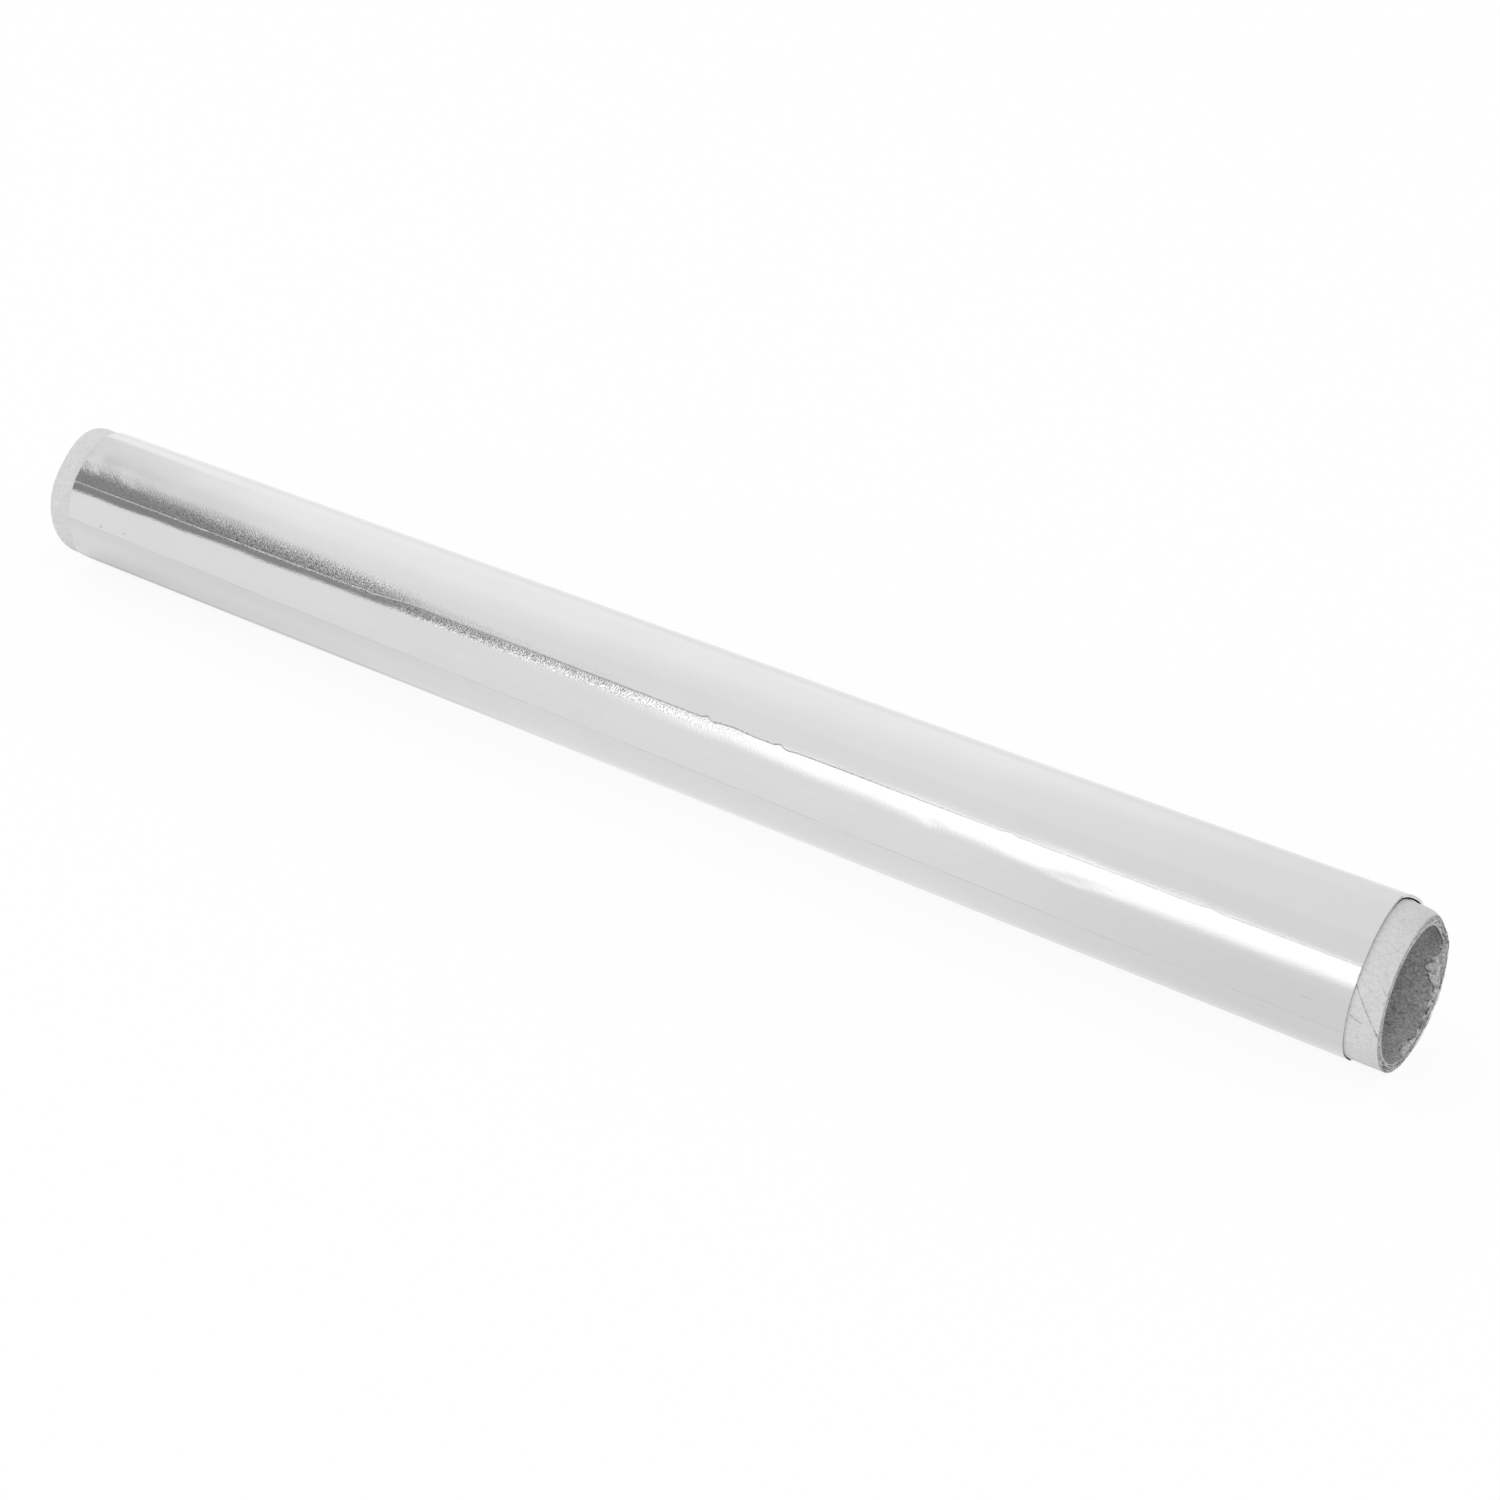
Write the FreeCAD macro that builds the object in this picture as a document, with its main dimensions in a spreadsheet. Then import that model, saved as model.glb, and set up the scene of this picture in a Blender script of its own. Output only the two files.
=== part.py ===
# Household aluminium foil roll, 300 mm wide, lying on its side.
# Two pieces: a spiral-wound paper core, and the wound foil with all its turns as one solid.
# Frame: X along the roll with +X at the frayed end of the core, +Z up.
# The origin is on the core's axis, midway along the core.
# Angles round the roll go from +Y towards +Z, in degrees. Lengths are in millimetres.

import FreeCAD, Part
import os
from math import atan2, cos, degrees, radians, sin, sqrt
from types import SimpleNamespace

import Sketcher

SIZES = [
    ("foil_width", 300.0, "width of the foil, along the roll"),
    ("winding_build", 0.58, "thickness of all the turns with the slack spread evenly round them"),
    ("tail_step", 0.1, "step at the free edge of the last turn"),
    ("tail_angle", 138.5, "angle of the free edge round the roll"),
    ("slack_lift", 0.26, "distance from the core's axis to the outer turns' axis"),
    ("slack_angle", 51.0, "direction in which the slack has lifted the outer turns"),
    ("tight_build", 0.15, "thickness of the turns that lie tight on the core"),
    ("loose_build", 0.19, "thickness of the loose turns over the middle of the gap"),
    ("slack_gap_end", 0.15, "width of the gap at its two ends"),
    ("slack_reach", 90.0, "angle from the middle of the gap to each of its ends"),
    ("flat_width", 4.0, "width of the flat spot that the roll lies on"),
    ("winding_clearance", 0.02, "clearance between the core and the first turn"),
    ("core_radius", 14.1, "outside radius of the core"),
    ("core_wall", 1.6, "wall of the core"),
    ("near_overhang", 6.3, "core beyond the foil at the frayed end, mean of the slant"),
    ("far_overhang", 6.8, "core beyond the foil at the clean end"),
    ("cut_slant", 2.2, "how much longer the long side of the frayed end is than the short side"),
    ("short_side_angle", 132.0, "angle of the short side of the frayed end"),
    ("ply_depth", 0.4, "depth of the inner plies that are torn away"),
    ("wide_tear_angle", -13.4, "angle of the middle of the wide tear"),
    ("wide_tear_reach", 2.5, "reach of the wide tear inwards from the mean end"),
    ("wide_tear_width", 6.6, "width of the wide tear, round the bore"),
    ("short_tear_angle", -84.0, "angle of the middle of the short tear"),
    ("short_tear_reach", 0.7, "reach of the short tear inwards from the mean end"),
    ("short_tear_width", 5.2, "width of the short tear, round the bore"),
]

# Corners of the torn outlines, as shares of the tear's reach inwards and of its width towards lower angles.
TEAR_CORNERS = {
    "wide_tear": [(0.20, -0.50), (0.48, -0.30), (0.72, -0.12), (1.00, 0.07), (0.62, 0.24), (0.35, 0.34), (0.10, 0.50)],
    "short_tear": [(0.10, -0.50), (0.55, -0.28), (1.00, -0.05), (0.85, 0.22), (0.10, 0.50)],
}

Z_AXIS = FreeCAD.Vector(0, 0, 1)

# Formulas on the sheet's values that several features share.
CORE_END = "((sizes.foil_width + sizes.near_overhang + sizes.far_overhang) / 2)"
BORE_RADIUS = "(sizes.core_radius - sizes.core_wall)"
WOUND_RADIUS = "(sizes.core_radius + sizes.winding_clearance)"
TIGHT_RADIUS = f"({WOUND_RADIUS} + sizes.tight_build)"
TURNS_RADIUS = f"({WOUND_RADIUS} + sizes.winding_build)"
UNDER_RADIUS = f"({TURNS_RADIUS} - sizes.tail_step / 2)"
CROWN_RADIUS = f"({TURNS_RADIUS} + sizes.slack_lift - sizes.loose_build)"
TURNS_AXIS = ("sizes.slack_lift * cos(sizes.slack_angle)", "sizes.slack_lift * sin(sizes.slack_angle)")


def make_sheet(doc):
    """The sheet of driving sizes, one row for each: name, value and meaning."""
    sheet = doc.addObject("Spreadsheet::Sheet", "sizes")
    for row, (name, value, meaning) in enumerate(SIZES, start=1):
        sheet.set(f"A{row}", name)
        sheet.set(f"B{row}", str(value))
        sheet.set(f"C{row}", meaning)
        sheet.setAlias(f"B{row}", name)
    doc.recompute()


def read_sheet():
    """The same sizes for drawing, with the radii and places that follow from them."""
    size = SimpleNamespace(**{name: value for name, value, meaning in SIZES})
    size.core_end = (size.foil_width + size.near_overhang + size.far_overhang) / 2
    size.bore_radius = size.core_radius - size.core_wall
    size.wound_radius = size.core_radius + size.winding_clearance
    size.tight_radius = size.wound_radius + size.tight_build
    size.turns_radius = size.wound_radius + size.winding_build
    size.under_radius = size.turns_radius - size.tail_step / 2
    size.crown_radius = size.turns_radius + size.slack_lift - size.loose_build
    return size


def origin_plane(body, role):
    """One of the body's own origin planes, found by its role."""
    for feature in body.Origin.OriginFeatures:
        if feature.Role == role:
            return feature
    raise ValueError(role)


def flat_sketch(body, name, role):
    """An empty sketch on one of the body's origin planes."""
    sketch = body.newObject("Sketcher::SketchObject", name)
    sketch.AttachmentSupport = (origin_plane(body, role), "")
    sketch.MapMode = "FlatFace"
    return sketch


def cross_section(body, name, place=("0", "0"), turned="0"):
    """A sketch across the roll, moved along Y and Z and turned about its own middle."""
    sketch = flat_sketch(body, name, "YZ_Plane")
    sketch.setExpression("AttachmentOffset.Base.x", place[0])
    sketch.setExpression("AttachmentOffset.Base.y", place[1])
    sketch.setExpression("AttachmentOffset.Rotation", f"rotationz({turned})")
    return sketch


def tie(sketch, *constraint):
    """Adds a constraint that carries no size."""
    sketch.addConstraint(Sketcher.Constraint(*constraint))


def bind(sketch, name, formula, *constraint):
    """Adds a dimension and ties it to a formula on the sheet."""
    number = sketch.addConstraint(Sketcher.Constraint(*constraint))
    sketch.renameConstraint(number, name)
    sketch.setExpression(f"Constraints.{name}", formula)


def draw_circle(sketch, name, radius, formula):
    """A circle about the sketch's own middle."""
    ring = sketch.addGeometry(Part.Circle(FreeCAD.Vector(), Z_AXIS, radius))
    tie(sketch, "Coincident", ring, 3, -1, 1)
    bind(sketch, name, formula, "Radius", ring, radius)


def draw_arc(sketch, middle, radius, start, end):
    """An arc whose middle lies on the sketch's horizontal axis, between two angles in degrees."""
    whole = Part.Circle(FreeCAD.Vector(middle, 0, 0), Z_AXIS, radius)
    return sketch.addGeometry(Part.ArcOfCircle(whole, radians(start), radians(end)))


def draw_line(sketch, start, end, guide=False):
    """A straight edge, or a guide line that isn't part of the outline."""
    return sketch.addGeometry(Part.LineSegment(FreeCAD.Vector(*start, 0), FreeCAD.Vector(*end, 0)), guide)


def draw_polygon(sketch, corners):
    """A closed outline of straight sides, each starting at its corner."""
    sides = [draw_line(sketch, corners[n - 1], corners[n]) for n in range(1, len(corners))]
    sides.append(draw_line(sketch, corners[-1], corners[0]))
    for n, side in enumerate(sides):
        tie(sketch, "Coincident", sides[n - 1], 2, side, 1)
    return sides


def pad(body, name, sketch, length):
    """The outline pushed out along the roll."""
    feature = body.newObject("PartDesign::Pad", name)
    feature.Profile = sketch
    feature.setExpression("Length", length)


def cut_through(body, name, sketch):
    """The outline cut through the whole body, both ways."""
    feature = body.newObject("PartDesign::Pocket", name)
    feature.Profile = sketch
    feature.Type = "ThroughAll"
    feature.Midplane = True


def turns_outline(body, size):
    """Outside of the turns: two half turns of slightly different radius, with a step at the free edge."""
    sketch = cross_section(body, "turns_outline", TURNS_AXIS, "sizes.tail_angle")
    sketch.setExpression("AttachmentOffset.Base.z", f"sizes.far_overhang - {CORE_END}")
    last = draw_arc(sketch, 0, size.turns_radius, -180, 0)
    under = draw_arc(sketch, -size.tail_step / 2, size.under_radius, 0, 180)
    edge = draw_line(sketch, (size.turns_radius, 0), (size.turns_radius - size.tail_step, 0))
    tie(sketch, "Coincident", last, 3, -1, 1)
    tie(sketch, "Coincident", last, 1, under, 2)
    tie(sketch, "Coincident", last, 2, edge, 1)
    tie(sketch, "Coincident", edge, 2, under, 1)
    tie(sketch, "PointOnObject", edge, 1, -1)
    tie(sketch, "PointOnObject", edge, 2, -1)
    tie(sketch, "PointOnObject", under, 2, -1)
    tie(sketch, "PointOnObject", under, 3, -1)
    bind(sketch, "radius", TURNS_RADIUS, "Radius", last, size.turns_radius)
    bind(sketch, "step", "sizes.tail_step", "Distance", edge, size.tail_step)
    return sketch


def slack_outline(body, size):
    """Gap between the tight and the loose turns: a crescent with blunt ends."""
    sketch = cross_section(body, "slack_outline", turned="sizes.slack_angle")
    crown = size.crown_radius
    tip = size.tight_radius + size.slack_gap_end
    along = cos(radians(size.slack_reach))
    across = sin(radians(size.slack_reach))
    lift = (crown ** 2 - tip ** 2) / (2 * (crown - tip * along))
    loose_reach = degrees(atan2(tip * across, tip * along - lift))
    tight = draw_arc(sketch, 0, size.tight_radius, -size.slack_reach, size.slack_reach)
    loose = draw_arc(sketch, lift, crown - lift, -loose_reach, loose_reach)
    peak = sketch.addGeometry(Part.Point(FreeCAD.Vector(crown, 0, 0)), True)
    tie(sketch, "Coincident", tight, 3, -1, 1)
    tie(sketch, "PointOnObject", loose, 3, -1)
    tie(sketch, "PointOnObject", peak, 1, -1)
    tie(sketch, "PointOnObject", peak, 1, loose)
    bind(sketch, "tight_radius", TIGHT_RADIUS, "Radius", tight, size.tight_radius)
    bind(sketch, "crown", CROWN_RADIUS, "DistanceX", -1, 1, peak, 1, crown)
    for side, corner, name in [(-1, 1, "low"), (1, 2, "high")]:
        inner = (size.tight_radius * along, side * size.tight_radius * across)
        outer = (tip * along, side * tip * across)
        ray = draw_line(sketch, (0, 0), outer, guide=True)
        end = draw_line(sketch, inner, outer)
        tie(sketch, "Coincident", ray, 1, -1, 1)
        tie(sketch, "Coincident", ray, 2, end, 2)
        tie(sketch, "Coincident", tight, corner, end, 1)
        tie(sketch, "Coincident", loose, corner, end, 2)
        tie(sketch, "PointOnObject", end, 1, ray)
        bind(sketch, f"{name}_rise", f"({TIGHT_RADIUS} + sizes.slack_gap_end) * sin(sizes.slack_reach)",
             "DistanceY", *((ray, 1, ray, 2) if side > 0 else (ray, 2, ray, 1)), tip * across)
    bind(sketch, "tip", f"({TIGHT_RADIUS} + sizes.slack_gap_end) * cos(sizes.slack_reach)",
         "DistanceX", -1, 1, end, 2, tip * along)
    return sketch


def flat_outline(body, size):
    """A rectangle under the roll, whose upper side is the flat spot."""
    sketch = cross_section(body, "flat_outline", TURNS_AXIS)
    half = size.turns_radius
    low = -2 * size.turns_radius
    rise = -sqrt(size.under_radius ** 2 - (size.flat_width / 2) ** 2)
    sides = draw_polygon(sketch, [(-half, low), (half, low), (half, rise), (-half, rise)])
    for side, way in zip(sides, ["Horizontal", "Vertical", "Horizontal", "Vertical"]):
        tie(sketch, way, side)
    bind(sketch, "half", TURNS_RADIUS, "DistanceX", sides[0], 1, -1, 1, half)
    bind(sketch, "width", f"2 * {TURNS_RADIUS}", "DistanceX", sides[0], 1, sides[0], 2, 2 * half)
    bind(sketch, "depth", f"2 * {TURNS_RADIUS}", "DistanceY", sides[0], 1, -1, 1, -low)
    bind(sketch, "flat", f"sqrt({UNDER_RADIUS} ^ 2 - (sizes.flat_width / 2) ^ 2)",
         "DistanceY", sides[2], 1, -1, 1, -rise)
    return sketch


def make_foil_roll(doc, size):
    """The wound foil: its outside, less the core's place, the slack gap and the flat spot."""
    body = doc.addObject("PartDesign::Body", "foil_roll")
    pad(body, "turns", turns_outline(body, size), "sizes.foil_width")
    core_place = cross_section(body, "core_place_outline")
    draw_circle(core_place, "radius", size.wound_radius, WOUND_RADIUS)
    cut_through(body, "core_place", core_place)
    cut_through(body, "slack", slack_outline(body, size))
    cut_through(body, "flat_spot", flat_outline(body, size))
    return body


def slant_outline(body, size):
    """What the slanted cut takes off the frayed end, with the short side of the core upwards in the sketch."""
    sketch = flat_sketch(body, "slant_outline", "XY_Plane")
    sketch.setExpression("AttachmentOffset.Rotation", "rotationx(sizes.short_side_angle)")
    reach = 2 * size.core_radius
    beyond = size.core_end + 2 * size.cut_slant
    long_end = size.core_end + size.cut_slant
    short_end = size.core_end - size.cut_slant
    sides = draw_polygon(sketch, [(long_end, -reach), (beyond, -reach), (beyond, reach), (short_end, reach)])
    for side, way in zip(sides, ["Horizontal", "Vertical", "Horizontal"]):
        tie(sketch, way, side)
    bind(sketch, "long_end", f"{CORE_END} + sizes.cut_slant", "DistanceX", -1, 1, sides[0], 1, long_end)
    bind(sketch, "short_end", f"{CORE_END} - sizes.cut_slant", "DistanceX", -1, 1, sides[3], 1, short_end)
    bind(sketch, "beyond", f"{CORE_END} + 2 * sizes.cut_slant", "DistanceX", -1, 1, sides[1], 1, beyond)
    bind(sketch, "below", "2 * sizes.core_radius", "DistanceY", sides[0], 1, -1, 1, reach)
    bind(sketch, "above", "2 * sizes.core_radius", "DistanceY", -1, 1, sides[3], 1, reach)
    return sketch


def make_cut_tube(doc, size):
    """The core before its inner plies tore: a tube with one end cut a little out of square."""
    body = doc.addObject("PartDesign::Body", "cut_tube")
    ring = cross_section(body, "tube_section")
    ring.setExpression("AttachmentOffset.Base.z", f"-{CORE_END}")
    draw_circle(ring, "outside", size.core_radius, "sizes.core_radius")
    draw_circle(ring, "bore", size.bore_radius, BORE_RADIUS)
    pad(body, "tube", ring, f"2 * {CORE_END} + sizes.cut_slant")
    cut_through(body, "slanted_cut", slant_outline(body, size))
    return body


def make_tear(doc, size, name, ply_cylinder):
    """One patch of torn inner ply: its outline pushed out from the axis, no deeper than the torn plies."""
    sketch = doc.addObject("Sketcher::SketchObject", f"{name}_outline")
    sketch.setExpression("Placement.Rotation", f"rotationx(sizes.{name}_angle - 90)")
    reach = getattr(size, f"{name}_reach")
    width = getattr(size, f"{name}_width")
    shares = TEAR_CORNERS[name]
    corners = [(size.core_end - inwards * reach, sideways * width) for inwards, sideways in shares]
    mouth = size.core_end + size.cut_slant
    sides = draw_polygon(sketch, [(mouth, corners[0][1])] + corners + [(mouth, corners[-1][1])])
    for n, (inwards, sideways) in enumerate(shares, start=1):
        across = -sideways * width
        bind(sketch, f"along_{n}", f"{CORE_END} - {inwards} * sizes.{name}_reach",
             "DistanceX", -1, 1, sides[n], 1, corners[n - 1][0])
        bind(sketch, f"across_{n}", f"{-sideways} * sizes.{name}_width", "DistanceY", sides[n], 1, -1, 1, across)
    tie(sketch, "Horizontal", sides[0])
    tie(sketch, "Horizontal", sides[-2])
    tie(sketch, "Vertical", sides[-1])
    bind(sketch, "mouth", f"{CORE_END} + sizes.cut_slant", "DistanceX", -1, 1, sides[0], 1, mouth)
    prism = doc.addObject("Part::Extrusion", f"{name}_prism")
    prism.Base = sketch
    prism.Solid = True
    prism.DirMode = "Normal"
    prism.setExpression("LengthFwd", "sizes.core_radius")
    tear = doc.addObject("Part::Common", name)
    tear.Base = prism
    tear.Tool = ply_cylinder
    return tear


def make_core_tube(doc, size):
    """The paper core, with its inner plies torn away in two places at the frayed end."""
    tube = make_cut_tube(doc, size)
    plies = doc.addObject("Part::Cylinder", "torn_depth")
    plies.setExpression("Placement.Rotation", "rotationy(90)")
    plies.setExpression("Radius", f"{BORE_RADIUS} + sizes.ply_depth")
    plies.setExpression("Height", f"{CORE_END} + 2 * sizes.cut_slant")
    wide = make_tear(doc, size, "wide_tear", plies)
    whole_plies = doc.copyObject(plies)
    short = make_tear(doc, size, "short_tear", whole_plies)
    tears = doc.addObject("Part::MultiFuse", "tears")
    tears.Shapes = [wide, short]
    core = doc.addObject("Part::Cut", "core_tube")
    core.Base = tube
    core.Tool = tears
    return core


def check_document(doc, pieces):
    """Stops if any object has failed, or a piece isn't one valid solid."""
    for item in doc.Objects:
        if "Invalid" in item.State or "Error" in item.State:
            raise RuntimeError(f"{item.Name} failed: {item.State}")
    for piece in pieces:
        shape = piece.Shape
        if shape.isNull() or not shape.isValid() or len(shape.Solids) != 1:
            raise RuntimeError(f"{piece.Label} isn't one valid solid")


def write_pieces(pieces):
    """Writes each piece to its own file, named after it."""
    os.makedirs("parts", exist_ok=True)
    for piece in pieces:
        piece.Shape.exportStep(f"parts/{piece.Label}.step")
        print(f"{piece.Label}: {piece.Shape.Volume:.0f} cubic mm")


def main():
    doc = FreeCAD.newDocument("foil_roll_part")
    make_sheet(doc)
    size = read_sheet()
    pieces = [make_core_tube(doc, size), make_foil_roll(doc, size)]
    doc.recompute()
    check_document(doc, pieces)
    write_pieces(pieces)


main()
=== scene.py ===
# Household aluminium foil roll on its paper core, lying on a white floor.
# The roll runs along X, with the frayed end of the core at +X, and +Z is up.
# Angles round the roll go from +Y towards +Z, in degrees.
# Sizes are in millimetres until they reach Blender.

from math import atan2, cos, degrees, exp, hypot, pi, radians, sin, sqrt

import bmesh
import bpy
from bpy.props import FloatProperty, FloatVectorProperty, IntProperty, PointerProperty
from mathutils import Euler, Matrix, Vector, noise


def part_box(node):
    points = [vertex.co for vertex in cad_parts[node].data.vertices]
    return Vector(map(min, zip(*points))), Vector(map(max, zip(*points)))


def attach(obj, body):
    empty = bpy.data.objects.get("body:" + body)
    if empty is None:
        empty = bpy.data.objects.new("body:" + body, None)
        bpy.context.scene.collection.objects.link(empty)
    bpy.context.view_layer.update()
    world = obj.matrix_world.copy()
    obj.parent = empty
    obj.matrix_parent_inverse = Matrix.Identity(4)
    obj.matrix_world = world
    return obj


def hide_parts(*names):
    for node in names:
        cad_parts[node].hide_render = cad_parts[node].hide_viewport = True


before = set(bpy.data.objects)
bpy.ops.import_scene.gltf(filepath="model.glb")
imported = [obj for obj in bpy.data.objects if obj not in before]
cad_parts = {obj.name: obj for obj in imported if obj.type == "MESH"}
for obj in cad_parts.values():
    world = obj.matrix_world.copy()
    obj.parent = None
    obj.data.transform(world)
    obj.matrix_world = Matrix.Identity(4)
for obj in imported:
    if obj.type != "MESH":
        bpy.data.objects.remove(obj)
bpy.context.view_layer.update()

bl_info = {
    "name": "Foil roll",
    "version": (1, 0, 0),
    "blender": (4, 5, 0),
    "location": "View3D > Sidebar > Foil roll",
    "description": "Models a household foil roll round its frame, with its studio",
    "category": "Object",
}

MM = 0.001
DEGREE = pi / 180
FOIL_LOW, FOIL_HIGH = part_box("foil_roll")
CORE_LOW, CORE_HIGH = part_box("core_tube")
FOIL_START = FOIL_LOW[0] / MM
FOIL_END = FOIL_HIGH[0] / MM
CORE_START = CORE_LOW[0] / MM
FLAT_HEIGHT = FOIL_LOW[2] / MM


# Angles round the roll: the far end's long side, the foil tongue and the open mouth of the near end, and the
# middle of the side that shows.
FAR_LONG_SIDE = 50
TONGUE_ANGLE = 229
MOUTH_ANGLE = 212
SHOWN_SIDE = 115


def unit(angle):
    """The direction across the roll at an angle in degrees."""
    return Vector((0, cos(radians(angle)), sin(radians(angle))))


def ease(value, low, high):
    """Runs smoothly from 0 at low to 1 at high."""
    share = min(1, max(0, (value - low) / (high - low)))
    return share * share * (3 - 2 * share)


def bell(distance, width):
    """A soft bump of height 1 that fades over the width."""
    return exp(-(distance / width) ** 2)


def turn_between(angle, start):
    """How far an angle lies past another, in degrees, from -180 to 180."""
    return (angle - start + 180) % 360 - 180


def round_noise(angle, fineness, layer):
    """Noise that closes up round the roll."""
    turn = radians(angle)
    return noise.noise(Vector((cos(turn) * fineness, sin(turn) * fineness, layer)))


def far_lean(angle):
    """Share of the far end's skew, of foil and core alike: full at the top and back, none at the front."""
    turned = turn_between(angle, FAR_LONG_SIDE)
    return 1 - ease(abs(turned), 5, 85)


def along_keys(keys, place):
    """Value at a place from a list of (place, value), straight between them."""
    if place <= keys[0][0]:
        return keys[0][1]
    for (start, first), (end, last) in zip(keys, keys[1:]):
        if place <= end:
            return first + (last - first) * (place - start) / (end - start)
    return keys[-1][1]


def steps_between(start, end, step):
    """Evenly spaced values from start up to, but not with, end."""
    count = max(1, round(abs(end - start) / step))
    return [start + (end - start) * n / count for n in range(count)]


class FOILROLL_PG_foil(bpy.types.PropertyGroup):
    """Sizes and finish of the wound foil"""

    turns_radius: FloatProperty(
        name="Turns radius", description="Outside radius of the turns at the free edge, mm", default=14.7)
    slack_lift: FloatProperty(
        name="Slack lift", description="Distance from the core's axis to the outer turns' axis, mm",
        default=0.26)
    slack_angle: FloatProperty(
        name="Slack angle", description="Direction of the slack lift, degrees", default=51.0)
    tail_angle: FloatProperty(
        name="Tail angle", description="Place of the free edge round the roll, degrees", default=138.5)
    tail_step: FloatProperty(name="Tail step", description="Step at the free edge, mm", default=0.1)
    tail_lift: FloatProperty(
        name="Tail lift", description="How far the free edge curls off the turn below, mm", default=0.02)
    tail_reach: FloatProperty(
        name="Tail reach", description="How far back the lifted sheet goes, mm", default=0.9)
    sheet: FloatProperty(
        name="Sheet", description="Thickness of the lifted sheet as modelled, mm", default=0.03)
    bore: FloatProperty(name="Bore", description="Radius of the first turn's inside, mm", default=14.12)
    tight: FloatProperty(name="Tight", description="Outside radius of the tight turns, mm", default=14.27)
    crown: FloatProperty(
        name="Crown", description="Inside radius of the loose turns at the middle of the gap, mm",
        default=14.58)
    gap_end: FloatProperty(name="Gap end", description="Width of the gap at its ends, mm", default=0.03)
    gap_reach: FloatProperty(
        name="Gap reach", description="Angle from the gap's middle to its ends, degrees", default=38.0)
    far_skew: FloatProperty(
        name="Far skew", description="How far the far end's back stands out, mm", default=3.6)
    near_skew: FloatProperty(
        name="Near skew", description="How far the near end's back stands out, mm", default=1.7)
    flare: FloatProperty(
        name="Flare", description="How far the loose turns stand off further at the near end, mm",
        default=0.16)
    tongue: FloatProperty(
        name="Tongue", description="Length of the foil tongue under the near end, mm", default=1.3)
    mouth: FloatProperty(
        name="Mouth", description="Opening of the near end at its bottom, mm", default=0.42)
    rows: IntProperty(name="Rows", description="Stretches along the roll", default=560, min=20)
    metal: FloatVectorProperty(
        name="Metal", description="Colour of the foil", subtype="COLOR", default=(0.695, 0.695, 0.695))
    roughness: FloatProperty(
        name="Roughness", description="Roughness of the foil", subtype="FACTOR", default=0.06)


class FOILROLL_PG_core(bpy.types.PropertyGroup):
    """Sizes and colours of the paper core"""

    outside: FloatProperty(name="Outside", description="Outside radius of the core, mm", default=14.1)
    bore: FloatProperty(name="Bore", description="Radius of the bore, mm", default=12.5)
    mean_end: FloatProperty(
        name="Mean end", description="Mean place of the slanted end, mm", default=156.55)
    slant: FloatProperty(
        name="Slant", description="Half the difference between the long and the short side, mm",
        default=1.1)
    long_side: FloatProperty(name="Long side", description="Angle of the long side, degrees", default=-48.0)
    press: FloatProperty(
        name="Press", description="How far the end is pressed in at its worst place, mm", default=1.45)
    press_angle: FloatProperty(
        name="Press angle", description="Place of the pressed part round the end, degrees", default=39.0)
    press_length: FloatProperty(
        name="Press length", description="How far the pressed part goes back, mm", default=4.6)
    far_skew: FloatProperty(
        name="Far skew", description="How far the top of the far end stands out, mm", default=3.4)
    far_bulge: FloatProperty(
        name="Far bulge", description="How far the far end is splayed at its top, mm", default=0.45)
    plies: IntProperty(name="Plies", description="Plies of paper in the wall", default=5, min=2)
    seam_pitch: FloatProperty(
        name="Seam pitch", description="Length of core for one turn of the spiral seam, mm", default=65.6)
    steps: IntProperty(name="Steps", description="Steps round the core", default=540, min=32)
    paper: FloatVectorProperty(
        name="Paper", description="Colour of the outer ply", subtype="COLOR", default=(0.635, 0.635, 0.633))
    board: FloatVectorProperty(
        name="Board", description="Colour of the inner plies", subtype="COLOR", default=(0.38, 0.38, 0.376))
    torn: FloatVectorProperty(
        name="Torn", description="Colour of torn paper", subtype="COLOR", default=(0.44, 0.44, 0.436))


class FOILROLL_PG_stage(bpy.types.PropertyGroup):
    """Light, cards, floor and camera"""

    light: FloatProperty(name="Light", description="Strength of the light from all round", default=0.95)
    lamp: FloatProperty(name="Lamp", description="Brightness of the softbox beside white", default=1.54)
    panel: FloatProperty(name="Panel", description="Brightness of the panels behind the roll", default=1.09)
    dulled: FloatProperty(
        name="Dulled", description="Brightness of the ceiling over the far end", default=0.74)
    card: FloatVectorProperty(
        name="Card", description="Colour of the dark card", subtype="COLOR", default=(0.28, 0.28, 0.28))
    floor: FloatVectorProperty(
        name="Floor", description="Colour of the floor", subtype="COLOR", default=(1.0, 1.0, 1.0))
    mirror_left: FloatProperty(
        name="Mirror left", description="Share of the floor's shade hidden in the foil, at the left",
        subtype="FACTOR", default=0.2)
    mirror_right: FloatProperty(
        name="Mirror right", description="Share of the floor's shade hidden in the foil, at the right",
        subtype="FACTOR", default=0.9)
    whiteness: FloatProperty(
        name="Whiteness", description="Share of the floor's shade hidden from the camera",
        subtype="FACTOR", default=0.9)
    lens: FloatProperty(name="Lens", description="Focal length of the camera, mm", default=55.39)
    azimuth: FloatProperty(
        name="Azimuth", description="Camera's way round the roll, degrees", default=34.25)
    elevation: FloatProperty(name="Elevation", description="Camera's height angle, degrees", default=34.08)


def select_only(thing):
    """Makes one object the selected and active one."""
    bpy.ops.object.select_all(action="DESELECT")
    thing.select_set(True)
    bpy.context.view_layer.objects.active = thing


def open_edit(thing, mode="VERT"):
    """Enters edit mode on one object with nothing selected."""
    select_only(thing)
    bpy.ops.object.mode_set(mode="EDIT")
    bpy.ops.mesh.select_mode(type=mode)
    bpy.ops.mesh.select_all(action="DESELECT")


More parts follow.
